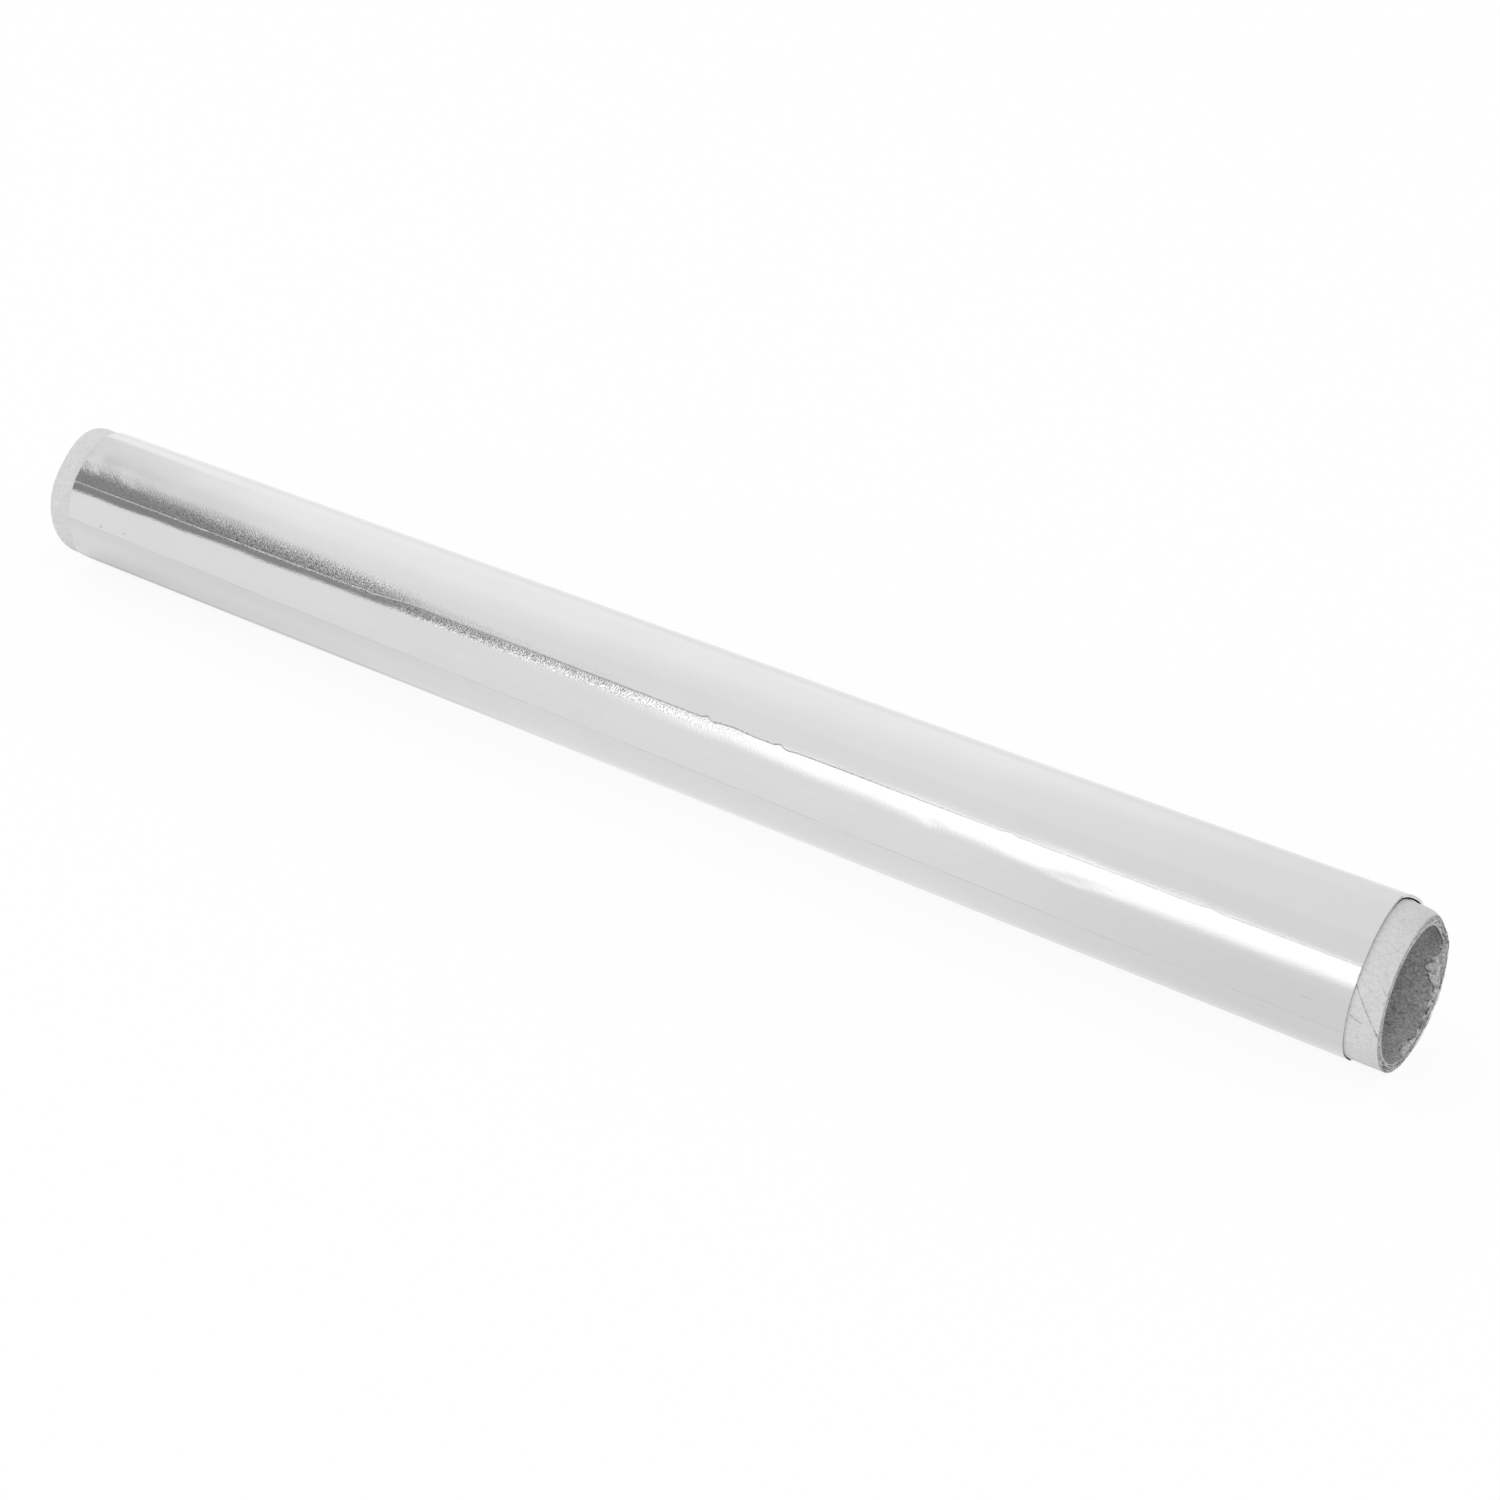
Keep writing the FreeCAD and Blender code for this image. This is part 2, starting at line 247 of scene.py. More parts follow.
def close_edit():
    """Goes back to object mode."""
    bpy.ops.object.mode_set(mode="OBJECT")


def select_edges(thing, wanted):
    """Selects the edges that pass the test, in edit mode."""
    shape = bmesh.from_edit_mesh(thing.data)
    for edge in shape.edges:
        if wanted(edge):
            edge.select_set(True)
    bmesh.update_edit_mesh(thing.data)


def outline(name, points):
    """A closed chain of corners at the points, from a circle."""
    bpy.ops.object.select_all(action="DESELECT")
    bpy.ops.mesh.primitive_circle_add(vertices=len(points), radius=FOIL_END * MM)
    chain = bpy.context.object
    chain.name = name
    for vertex, place in zip(chain.data.vertices, points):
        vertex.co = Vector(place) * MM
    return chain


def at_end(edge, end):
    """Whether an edge lies in the cut at a place along the roll."""
    return all(abs(corner.co.x / MM - end) < 0.01 for corner in edge.verts)


def draw_out(chain, length, rows):
    """Pulls a chain of corners along the roll into a wall with so many rows."""
    select_only(chain)
    screw = chain.modifiers.new("length", "SCREW")
    screw.axis = "X"
    screw.angle = 0
    screw.screw_offset = length * MM
    screw.steps = screw.render_steps = rows
    screw.use_smooth_shade = False
    bpy.ops.object.modifier_apply(modifier=screw.name)


def turns_path(foil):
    """Outside of the turns, a spiral about their own axis, with the lifted sheet folded back under."""
    reach = degrees(foil.tail_reach / foil.turns_radius)
    tail = foil.tail_angle
    stops = [(tail - reach, 0.5), (tail + 3, 1.5), (tail + 21, 3.0)]
    stops += [(tail + 342, 1.5), (tail + 357, 0.3), (tail + 360, 0)]
    angles = []
    for (first, step), (last, _) in zip(stops, stops[1:]):
        angles += steps_between(first, last, step)
    end = tail + 360
    angles.append(end)
    path = [(angle, spiral_radius(foil, angle)) for angle in angles]
    folds = 8
    for n in range(folds):
        back = end - reach * n / folds
        thick = foil.sheet * (1 - n / folds * 0.8)
        path.append((back, spiral_radius(foil, back) - thick - tail_rise(foil, back) * 0.3 * n / folds))
    middle = unit(foil.slack_angle) * foil.slack_lift
    points = []
    for angle, radius in path:
        place = middle + unit(angle) * radius
        points.append((FOIL_START, place.y, max(place.z, FLAT_HEIGHT)))
    return points


def tail_rise(foil, angle):
    """Lift of the last stretch of the sheet before its free edge."""
    return foil.tail_lift * ease(angle, foil.tail_angle + 356, foil.tail_angle + 360)


def spiral_radius(foil, angle):
    """Radius of the outer face at an angle counted on from just under the free edge."""
    share = (angle - foil.tail_angle) / 360
    return foil.turns_radius - foil.tail_step * (1 - share) + tail_rise(foil, angle)


def gap_path(foil):
    """The crescent gap between the tight and the loose turns, about the core's axis."""
    tip = foil.tight + foil.gap_end
    along = cos(radians(foil.gap_reach))
    across = sin(radians(foil.gap_reach))
    lift = (foil.crown ** 2 - tip ** 2) / (2 * (foil.crown - tip * along))
    outer = foil.crown - lift
    outer_reach = degrees(atan2(tip * across, tip * along - lift))
    steps = 72
    points = []
    for n in range(steps + 1):
        place = unit(foil.slack_angle - foil.gap_reach + 2 * foil.gap_reach * n / steps) * foil.tight
        points.append((FOIL_START, place.y, place.z))
    for n in range(steps + 1):
        angle = foil.slack_angle + outer_reach - 2 * outer_reach * n / steps
        place = unit(foil.slack_angle) * lift + unit(angle) * outer
        points.append((FOIL_START, place.y, place.z))
    return points


def bore_path(foil):
    """Inside of the first turn."""
    steps = 144
    ring = [unit(360 * n / steps) * foil.bore for n in range(steps)]
    return [(FOIL_START, place.y, place.z) for place in ring]


# Free edge: place along the roll in mm, and how far the edge lies past its mean place, in degrees.
EDGE_WANDER = [(-62.0, 1.0), (-52.0, -2.0), (38.0, 0.4)]


def edge_wander(along):
    """How far the free edge lies past its mean place at a place along the roll, in degrees."""
    return along_keys(EDGE_WANDER, along)


# Dents in the foil: place along the roll, angle round it, half length along and around, depth.
DENTS = [
    (71.0, 149.5, 2.0, 1.0, 0.05),
    (92.0, 148.5, 5.0, 0.7, 0.035),
    (99.0, 153.5, 4.5, 0.7, 0.05),
    (104.0, 150.5, 6.0, 0.6, 0.03),
    (67.3, 212.0, 1.6, 1.6, 0.06),
    (141.5, 169.3, 0.7, 0.5, 0.06),
    (-139.5, 168.0, 0.9, 0.8, 0.06),
    (-132.0, 166.5, 0.9, 0.7, 0.05),
    (-90.0, 171.0, 3.0, 0.6, 0.03),
    (-145.0, 117.0, 2.6, 2.6, 0.16),
    (-139.0, 120.0, 2.2, 2.0, -0.07),
    (-132.0, 122.0, 3.0, 1.6, 0.06),
    (-138.0, 104.0, 6.0, 3.0, 0.06),
    (-60.0, 20.0, 9.0, 3.0, 0.05),
    (35.0, -20.0, 7.0, 3.0, 0.05),
    (110.0, 5.0, 6.0, 4.0, 0.06),
]

# Painted shade of small pressed dents in the foil: place along the roll, angle round it, half length, half
# width in degrees.
DENT_SHADES = [
    (143.2, 169.6, 1.3, 0.8), (-139.5, 168.2, 0.6, 2.0), (-132.0, 166.4, 0.5, 1.4),
    (143.0, 186.0, 0.9, 0.5), (136.0, 191.0, 1.2, 0.5),
]

# Nicks in the free edge: place along the roll, half length, depth back from the edge.
NICKS = [
    (21.3, 0.7, 0.55), (22.7, 0.9, -0.25), (27.5, 2.5, 0.20), (37.6, 0.8, 0.45),
    (39.4, 1.2, -0.20), (85.5, 1.0, 0.30), (123.5, 1.2, 0.25), (-64.0, 0.8, 0.25),
]


def shape_foil(turns, foil):
    """Gives the outer face its gentle waves and dents and the free edge its nicks, and marks where the foil
    is rougher and darker: the torn free edge, whose darkness is partly painted shade of the thin shadow line
    under it, and dashes along the near cut end.
    """
    end_row = FOIL_END - 0.1
    middle = unit(foil.slack_angle) * foil.slack_lift
    burr_and_shade = turns.data.attributes.new("burr_and_shade", "FLOAT", "POINT")
    for vertex in turns.data.vertices:
        place = vertex.co / MM
        arm = Vector((0, place.y, place.z)) - middle
        radius = arm.length
        if radius < foil.turns_radius - foil.tail_step - 0.06:
            continue
        angle = degrees(atan2(arm.z, arm.y)) % 360
        out = arm.normalized()
        around = radians(angle) * foil.turns_radius
        on_floor = 1 - ease(place.z, FLAT_HEIGHT + 0.05, FLAT_HEIGHT + 1.5)
        wave = noise.noise(Vector((place.x * 0.018, arm.y * 0.06, arm.z * 0.06))) * 0.07
        wave += noise.noise(Vector((place.x * 0.07, arm.y * 0.16, arm.z * 0.16 + 40))) * 0.012
        for along, at, half_along, half_around, depth in DENTS:
            if abs(place.x - along) < 4 * half_along:
                side = turn_between(angle, at) * DEGREE * foil.turns_radius
                wave -= depth * bell(place.x - along, half_along) * bell(side, half_around)
        flare = foil.flare * bell(turn_between(angle, foil.slack_angle), 60)
        place += out * (wave + flare * ease(place.x, FOIL_END - 60, FOIL_END)) * (1 - on_floor)
        if FOIL_END - 0.8 < place.x < end_row:
            place.x = FOIL_END - 0.25
        if place.x > end_row:
            dashes = ease(noise.noise(Vector((around * 0.9, 11, 0))), -0.2, 0.15)
            in_view = 1 - ease(abs(turn_between(angle, SHOWN_SIDE)), 50, 75)
            burr_and_shade.data[vertex.index].value = 0.45 * dashes * in_view
        from_tail = turn_between(angle, foil.tail_angle) * DEGREE * foil.turns_radius
        if radius > foil.turns_radius - 0.5 * foil.tail_step and -2.0 < from_tail < 0.2:
            back = 0.05 * noise.noise(Vector((place.x * 0.6, 3, 0)))
            back += 0.10 * noise.noise(Vector((place.x * 0.05, 9, 0)))
            back -= radians(edge_wander(place.x)) * foil.turns_radius
            for along, half, depth in NICKS:
                back += depth * bell(place.x - along, half)
            share = ease(from_tail, -1.8, 0)
            # The torn edge gets a rough, darker finish; its darkness is partly painted shade of the shadow
            # line under the lifted edge.
            torn = ease(from_tail + 0.08 * noise.noise(Vector((place.x * 1.3, 5, 0))), -0.34, -0.16)
            burr_and_shade.data[vertex.index].value = torn * (0.8 + 0.7 * noise.noise(Vector((place.x * 1.7, 7, 0))))
            side = Vector((0, out.z, -out.y))
            place += side * back * share
        vertex.co = place * MM
    turns.data.update()


def ragged_ends(turns, foil):
    """Makes the cut ends of the turns uneven: both stand out at the back, and the near one opens below."""
    for vertex in turns.data.vertices:
        place = vertex.co / MM
        radius = hypot(place.y, place.z)
        angle = degrees(atan2(place.z, place.y))
        rough = 0.06 + 0.06 * round_noise(angle, 3, radius * 3)
        to_end = (place.x - FOIL_START) / (FOIL_END - FOIL_START)
        if to_end < 0.05:
            share = 1 - to_end / 0.05
            low = ease(turn_between(angle, 188), 0, 30) * (1 - ease(turn_between(angle, 188), 45, 90))
            place.x -= share * (foil.far_skew * far_lean(angle) + 2.2 * low - rough)
        if to_end > 0.97:
            share = (to_end - 0.97) / 0.03
            back = turn_between(angle, foil.slack_angle)
            skew = 1 - ease(abs(back + 28), 12, 45)
            tongue = foil.tongue * bell(turn_between(angle, TONGUE_ANGLE), 9)
            tongue *= ease(radius, foil.tight, foil.turns_radius - 0.2)
            place.x += share * (foil.near_skew * skew + tongue - rough)
        vertex.co.x = place.x * MM
        if to_end > 0.999 and radius < foil.bore + 0.05:
            opened = foil.mouth * bell(turn_between(angle, MOUTH_ANGLE), 24)
            vertex.co += unit(angle) * opened * MM


def smooth(thing, angle=40):
    """Shades a piece smoothly, but for edges sharper than the angle."""
    select_only(thing)
    bpy.ops.object.shade_smooth_by_angle(angle=radians(angle))


def finish_piece(thing, name, node, material):
    """Names a finished piece, dresses it and ties it to the frame."""
    thing.name = name
    thing.data.name = name
    thing.data.materials.clear()
    thing.data.materials.append(material)
    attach(thing, "root")
    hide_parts(node)


def new_material(name, settings):
    """A material with the plain settings of its Principled shader, and a way to add nodes to it."""
    material = bpy.data.materials.new(name)
    material.use_nodes = True
    shader = material.node_tree.nodes["Principled BSDF"]
    for key, value in settings.items():
        shader.inputs[key].default_value = value
    return material, shader, Graph(material.node_tree)


class Graph:
    """Adds and links nodes of one material in a short form."""

    def __init__(self, tree):
        self.tree = tree

    def put(self, value, socket):
        """Links a socket to an input, or sets the input to a plain value."""
        if isinstance(value, bpy.types.NodeSocket):
            self.tree.links.new(value, socket)
        else:
            socket.default_value = value

    def add(self, kind, inputs=None, **settings):
        node = self.tree.nodes.new(kind)
        for name, value in settings.items():
            setattr(node, name, value)
        for key, value in (inputs or {}).items():
            self.put(value, node.inputs[key])
        return node

    def place(self):
        """The place on the object, in metres."""
        return self.add("ShaderNodeTexCoord").outputs["Object"]

    def apart(self, vector):
        """The X, Y and Z of a vector."""
        return self.add("ShaderNodeSeparateXYZ", {0: vector}).outputs

    def math(self, operation, first, second=0.0):
        return self.add("ShaderNodeMath", {0: first, 1: second}, operation=operation).outputs[0]

    def less(self, first, second):
        return self.math("SUBTRACT", first, second)

    def total(self, first, *others):
        for other in others:
            first = self.math("ADD", first, other)
        return first

    def product(self, first, *others):
        for other in others:
            first = self.math("MULTIPLY", first, other)
        return first

    def largest(self, first, *others):
        for other in others:
            first = self.math("MAXIMUM", first, other)
        return first

    def between(self, share, start, end):
        """Straight from start at share 0 to end at share 1."""
        inputs = {0: share, 1: end - start, 2: start}
        return self.add("ShaderNodeMath", inputs, operation="MULTIPLY_ADD").outputs[0]

    def slope(self, value, start, steepness):
        """0 up to the start, and from there on steeply up in a straight line."""
        return self.product(self.largest(self.less(value, start), 0.0), steepness)

    def ramp(self, value, low, high, scale=1.0):
        """Smoothly from 0 at low to 1 at high."""
        inputs = {"Value": value, "From Min": low * scale, "From Max": high * scale}
        return self.add("ShaderNodeMapRange", inputs, interpolation_type="SMOOTHSTEP").outputs[0]

    def band(self, value, rise, fall, scale=1.0):
        """Smoothly from 0 to 1 over the rise, and back to 0 over the fall, given from its low end."""
        return self.product(self.ramp(value, *rise, scale), self.ramp(value, *fall, scale))

    def line(self, value, low, high, start, end):
        """Straight from start at low to end at high, and level beyond."""
        inputs = {"Value": value, "From Min": low, "From Max": high, "To Min": start, "To Max": end}
        return self.add("ShaderNodeMapRange", inputs).outputs[0]

    def noise(self, vector, fineness, detail, rough):
        """Noise with so many waves in a metre along each axis."""
        stretched = self.add("ShaderNodeMapping", {"Vector": vector, "Scale": fineness}).outputs[0]
        inputs = {"Vector": stretched, "Scale": 1.0, "Detail": detail, "Roughness": rough}
        return self.add("ShaderNodeTexNoise", inputs).outputs["Fac"]

    def mix(self, share, first, second):
        """Blends two colours, which are inputs 6 and 7 of a mix node, and output 2 the blend."""
        node = self.add("ShaderNodeMix", {0: share}, data_type="RGBA")
        for key, value in ((6, first), (7, second)):
            self.put(value if isinstance(value, bpy.types.NodeSocket) else (*value, 1), node.inputs[key])
        return node.outputs[2]

    def tinted(self, colour, factor):
        """A colour times a factor."""
        inputs = {0: colour, 1: factor}
        return self.add("ShaderNodeVectorMath", inputs, operation="MULTIPLY").outputs[0]

    def bump(self, height, distance, normal=None, strength=1.0):
        inputs = {"Height": height, "Distance": distance, "Strength": strength}
        if normal is not None:
            inputs["Normal"] = normal
        return self.add("ShaderNodeBump", inputs).outputs[0]


# Faint pressed crease, drawn in the foil's colour as a line of painted shade: its angle at the middle of the
# roll, and its turn in degrees for each metre.
CREASE_ANGLE = 178.9
CREASE_TURN = 51.0


def past_edge(graph, foil, along, turned):
    """Angle past the free edge, which wanders along the roll."""
    (first, start), (middle, low), (last, end) = EDGE_WANDER
    wander = graph.line(along, first * MM, middle * MM, start * DEGREE, low * DEGREE)
    wander = graph.total(wander, graph.line(along, middle * MM, last * MM, 0.0, (end - low) * DEGREE))
    return graph.less(graph.less(turned, foil.tail_angle * DEGREE), wander)


def speckled(graph, foil, along, turned):
    """Share of fine crumpling: in a strip past the free edge, and before it towards the far end."""
    past = past_edge(graph, foil, along, turned)
    strip = graph.product(graph.ramp(past, -0.3, 0.3, DEGREE), graph.ramp(turned, 145.8, 143.0, DEGREE))
    strip = graph.product(strip, graph.band(along, (-64, -50), (45, -5), MM))
    before = graph.product(graph.ramp(turned, 122, 131, DEGREE), graph.ramp(past, 0.3, -0.3, DEGREE))
    before = graph.product(before, graph.ramp(along, -50, -66, MM))
    before = graph.product(before, graph.between(graph.ramp(along, -140, -100, MM), 0.4, 1.0))
    return graph.largest(strip, before)


def foil_relief(graph, place, along, turned, swell, speckle):
    """Relief of the foil: slow swells, a clouded patch at the far end, the grain and the mill lines."""
    patch = graph.band(turned, (110, 117), (132, 124), DEGREE)
    clouded = graph.product(patch, graph.ramp(along, -124, -142, MM))
    softened = graph.product(patch, graph.ramp(along, -90, -120, MM), 1.6)
    clouds = graph.noise(place, (420, 700, 700), 4.0, 0.65)
    grain = graph.noise(place, (4200, 2600, 2600), 2.0, 0.5)
    mill_lines = graph.noise(place, (3200, 500, 500), 2.0, 0.6)
    crumpled = graph.largest(graph.product(speckle, 0.65), softened)
    normal = graph.bump(swell, 0.12 * MM)
    normal = graph.bump(graph.product(clouds, clouded), 0.16 * MM, normal)
    normal = graph.bump(graph.product(grain, graph.total(crumpled, 1.0)), 0.016 * MM, normal)
    return graph.bump(mill_lines, 0.007 * MM, normal)


def foil_colour(graph, foil, place, along, turned, swell, speckle, burr_and_shade):
    """Colour of the foil: plain metal with a random tone, darker towards the near end, painted shade along
    its crease, at small dents and in a band below the crease, a painted mirrored shadow low on the far half,
    painted glints and specks over the crumpled strip, and darker torn edges that are partly painted shade.
    """
    metal = Vector(foil.metal)
    # Tints of the metal; the darker ones give painted shade and the darker torn edges, as marked where they
    # are used.
    pale, dim, reflected_floor_shade, pressed = metal * 1.01, metal * 0.99, metal * 0.93, metal * 0.80
    near_dim, mirrored_shadow, torn = metal * 0.88, metal * 0.62, metal * 0.55
    tone = graph.noise(place, (60, 90, 90), 3.0, 0.6)
    colour = graph.mix(graph.ramp(tone, 0.3, 0.7), dim, pale)
    # Darker towards the near end, most on the lower side.
    lower = graph.band(turned, (150, 165), (215, 196), DEGREE)
    near = graph.product(graph.ramp(along, 60, 150, MM), graph.between(lower, 0.5, 1.0))
    colour = graph.mix(near, colour, near_dim)
    crease_angle = graph.between(along, CREASE_ANGLE * DEGREE, (CREASE_ANGLE + CREASE_TURN) * DEGREE)
    wobble = graph.product(graph.less(swell, 0.5), 1.2 * DEGREE)
    off = graph.less(graph.less(turned, crease_angle), wobble)
    # Painted shade: the band below the crease is darker, standing in for the floor's shadow mirrored in the
    # foil, more so towards the far end.
    under = graph.band(off, (0, 0.5), (16, 2), DEGREE)
    under = graph.product(under, graph.between(graph.ramp(along, 0, -120, MM), 0.3, 1.0))
    colour = graph.mix(under, colour, reflected_floor_shade)
    # Painted shade: a darker line along the crease.
    crease = graph.ramp(graph.math("ABSOLUTE", off), 0.9, 0, DEGREE)
    crease = graph.product(crease, graph.between(graph.ramp(tone, 0.40, 0.56), 0.35, 0.75))
    colour = graph.mix(crease, colour, pressed)
    # Painted shadow: a darker band low on the far half, standing in for the roll's contact shadow on the
    # floor mirrored in the foil.
    low = graph.product(graph.band(turned, (212, 216), (240, 227), DEGREE), graph.ramp(along, 10, -70, MM))
    colour = graph.mix(low, colour, mirrored_shadow)
    # Painted shade of the small dents.
    for mark_along, mark_angle, half_along, half_angle in DENT_SHADES:
        across = graph.math("DIVIDE", graph.less(turned, mark_angle * DEGREE), half_angle * DEGREE)
        beside = graph.math("DIVIDE", graph.less(along, mark_along * MM), half_along * MM)
        distance = graph.total(graph.product(across, across), graph.product(beside, beside))
        colour = graph.mix(graph.ramp(distance, 1.0, 0.2), colour, pressed)
    # Painted glints and dark specks over the crumpled strip, standing in for the sparkle of its tiny facets.
    glint_specks = graph.less(graph.noise(place, (2900, 2500, 2500), 1.0, 0.5), 0.5)
    colour = graph.tinted(colour, graph.total(graph.product(glint_specks, speckle, 2.3), 1.0))
    # Darker colour where the edge is rough: the torn free edge from about -15 to 45 mm, partly the torn
    # metal and partly painted shade of the thin shadow line under the lifted edge, and the dashes along the
    # near cut end.
    darkened_edges = graph.band(along, (-50, -15), (85, 45), MM)
    darkened_edges = graph.largest(darkened_edges, graph.ramp(along, 149.9, 150.1, MM))
    return graph.mix(graph.product(burr_and_shade, darkened_edges), colour, torn)


def foil_material(foil):
    """Bright rolled foil: mill lines round the roll, a fine grain, and a faint pressed crease along it that
    is painted shade in its colour.
    """
    material, shader, graph = new_material("bright_foil", {"Metallic": 1.0})
    place = graph.place()
    apart = graph.apart(place)
    along = apart["X"]
    angle = graph.math("ARCTAN2", apart["Z"], apart["Y"])
    turned = graph.math("MODULO", graph.total(angle, 2 * pi), 2 * pi)
    swell = graph.noise(place, (45, 160, 160), 1.0, 0.5)
    speckle = speckled(graph, foil, along, turned)
    burr_and_shade = graph.add("ShaderNodeAttribute", attribute_name="burr_and_shade").outputs["Fac"]
    graph.put(foil_relief(graph, place, along, turned, swell, speckle), shader.inputs["Normal"])
    colour = foil_colour(graph, foil, place, along, turned, swell, speckle, burr_and_shade)
    graph.put(colour, shader.inputs["Base Color"])
    graph.put(graph.between(burr_and_shade, foil.roughness, foil.roughness + 0.45), shader.inputs["Roughness"])
    return material


class FOILROLL_OT_foil(bpy.types.Operator):
    """Models all the turns of foil, with the free edge and the slack gap"""

    bl_idname = "foilroll.foil"
    bl_label = "Wound foil"

    def execute(self, context):
        foil = context.scene.foilroll_foil
        length = FOIL_END - FOIL_START
        turns = outline("turns", turns_path(foil))
        draw_out(turns, length, foil.rows)
        inner = [outline("gap", gap_path(foil)), outline("bore", bore_path(foil))]
        for chain in inner:
            draw_out(chain, length, 1)
        select_only(turns)
        for chain in inner:
            chain.select_set(True)
        bpy.ops.object.join()
        for end in (FOIL_START, FOIL_END):
            open_edit(turns, "EDGE")
            select_edges(turns, lambda edge: edge.is_boundary and at_end(edge, end))
            bpy.ops.mesh.fill()
            close_edit()
        open_edit(turns)
        bpy.ops.mesh.select_all(action="SELECT")
        bpy.ops.mesh.normals_make_consistent(inside=False)
        close_edit()
        shape_foil(turns, foil)
        ragged_ends(turns, foil)
        smooth(turns)
        finish_piece(turns, "wound_foil", "foil_roll", foil_material(foil))
        return {"FINISHED"}


def core_profile(core):
    """Outline of the wall, along the roll and out from its axis, with fine rows where the paper shows."""
    end = core.mean_end
    wall = core.outside - core.bore
    outer = steps_between(CORE_START, FOIL_START + 0.5, 0.6)
    outer += steps_between(FOIL_START + 0.5, FOIL_END - 0.5, FOIL_END)
    outer += steps_between(FOIL_END - 0.5, end, 0.2)
    inner = steps_between(end, end - 3.6, 0.12) + steps_between(end - 3.6, end - 12, 0.6)
    inner += steps_between(end - 12, end - 60, 4) + steps_between(end - 60, CORE_START + 6, FOIL_END)
    inner += steps_between(CORE_START + 6, CORE_START, 1.5)
    profile = [(along, 0, core.outside) for along in outer]
    near_steps = steps_between(core.outside, core.bore, wall / core.plies / 4)
    far_steps = steps_between(core.bore, core.outside, wall / core.plies / 2)
    profile += [(end, 0, radius) for radius in near_steps]
    profile += [(along, 0, core.bore) for along in inner]
    profile += [(CORE_START, 0, radius) for radius in far_steps]
    return profile


# Edge of the torn inner ply: angle, and place along the core from which the ply is gone.
TEAR_EDGE = [
    (-104, 158.4), (-98, 157.6), (-93, 155.9), (-86, 156.0), (-78, 156.2), (-73, 156.9), (-69, 157.3),
    (-62, 157.1), (-50, 157.0), (-40, 156.9), (-29, 156.6), (-26, 155.7), (-19, 154.7), (-15.5, 154.1),
    (-12, 155.0), (-9, 155.2), (-4, 155.6), (1, 156.2), (9, 156.2), (17, 156.2), (24, 157.2), (30, 158.4),
]

# Marks on the outside of the core: along and angle at both ends, half width, darkness.
MARKS = [
    (151.5, 82.7, 151.7, 82.9, 0.13, 0.35),
    (152.5, 92.5, 152.7, 92.6, 0.12, 0.3),
    (150.6, 171.0, 152.6, 174.4, 0.10, 0.5),
    (154.3, 146.0, 155.1, 148.9, 0.10, 0.3),
    (155.2, 154.6, 155.5, 155.6, 0.13, 0.4),
    (155.3, 178.2, 155.6, 179.4, 0.18, 0.7),
    (153.4, 117.0, 154.0, 119.0, 0.12, 0.15),
    (154.0, 135.0, 154.5, 138.0, 0.12, 0.15),
]


# Angle of the most frayed place of the rim, and a point of the spiral seam: along the core and round it.
FRAYED_SIDE = -48.0
SEAM_ALONG = 150.4
SEAM_ANGLE = 150.8


def fray_strength(angle):
    """How frayed the end is round the rim: little at the top, most at the far lower side."""
    return 0.25 + 0.75 * ease(cos(radians(angle - FRAYED_SIDE)), -0.3, 0.6)


def lip_share(angle):
    """Where the outermost ply stands up as a pale lip at the lower right of the rim."""
    return ease(angle, -82, -70) * (1 - ease(angle, -24, -12))


def ply_of(core, share):
    """Number of the ply at a share of the wall, from the bore out."""
    return min(core.plies - 1, int(share * core.plies + 1e-6))


def rim_groove(core, share):
    """1 between two plies of the rim and 0 in the middle of a ply."""
    within = share * core.plies - ply_of(core, share)
    return max(bell(within, 0.22), bell(within - 1, 0.22)) if 0.02 < share < 0.98 else 0.2


def open_seam(core, angle, share):
    """How far two plies have come apart at a place of the rim, from 0 to 1."""
    seam = round(share * core.plies) * 4.0
    return fray_strength(angle) * ease(round_noise(angle, 5, seam), -0.25, 0.3)


def rim_height(core, angle, share):
    """How far a place on the frayed end stands out from the slanted cut."""
    strength = fray_strength(angle)
    ply = ply_of(core, share)
    groove = rim_groove(core, share)
    rough = strength if ply < core.plies - 1 else 0.3 * strength
    height = 0.12 * rough * round_noise(angle, 7, ply * 5.3)
    height += 0.16 * rough * strength * round_noise(angle, 26, ply * 3.1 + 20)
    height -= groove * (0.04 + 0.45 * open_seam(core, angle, share))
    height += 0.05 * round_noise(angle, 60, share * 30)
    lip = lip_share(angle)
    if ply == core.plies - 1:
        height += 0.20 * lip * (0.8 + 0.6 * round_noise(angle, 9, 50))
    if ply == core.plies - 2:
        height -= 0.5 * lip * ease(round_noise(angle, 8, 33), -0.4, 0.1)
    return height


def pressed_in(core, along, angle, share):
    """How far the wall is pushed in near the frayed end, a little more at its inside."""
    back = core.mean_end - along
    depth = max(0, 1 - back / core.press_length) ** 3
    hollow = core.press * bell(turn_between(angle, core.press_angle), 29)
    inside = 0.35 * (1 - share) * bell(turn_between(angle, core.press_angle + 45), 38)
    return min(1.15, depth) * (hollow + inside)


def torn_depth(along, angle):
    """Share of the tear, 0 where the inner ply stands and 1 where it is gone, and the way past its edge."""
    edge = along_keys(TEAR_EDGE, turn_between(angle, 0))
    edge += 0.16 * round_noise(angle, 30, 3) + 0.10 * round_noise(angle, 80, 6)
    return ease(along - edge, -0.04, 0.10), along - edge


def seam_distance(core, along, angle):
    """Distance in mm from the spiral seam, across it."""
    turn = 360 / core.seam_pitch
    off = turn_between(angle, SEAM_ANGLE + (along - SEAM_ALONG) * turn)
    lean = turn * DEGREE * core.outside
    return abs(radians(off) * core.outside) / sqrt(1 + lean * lean)


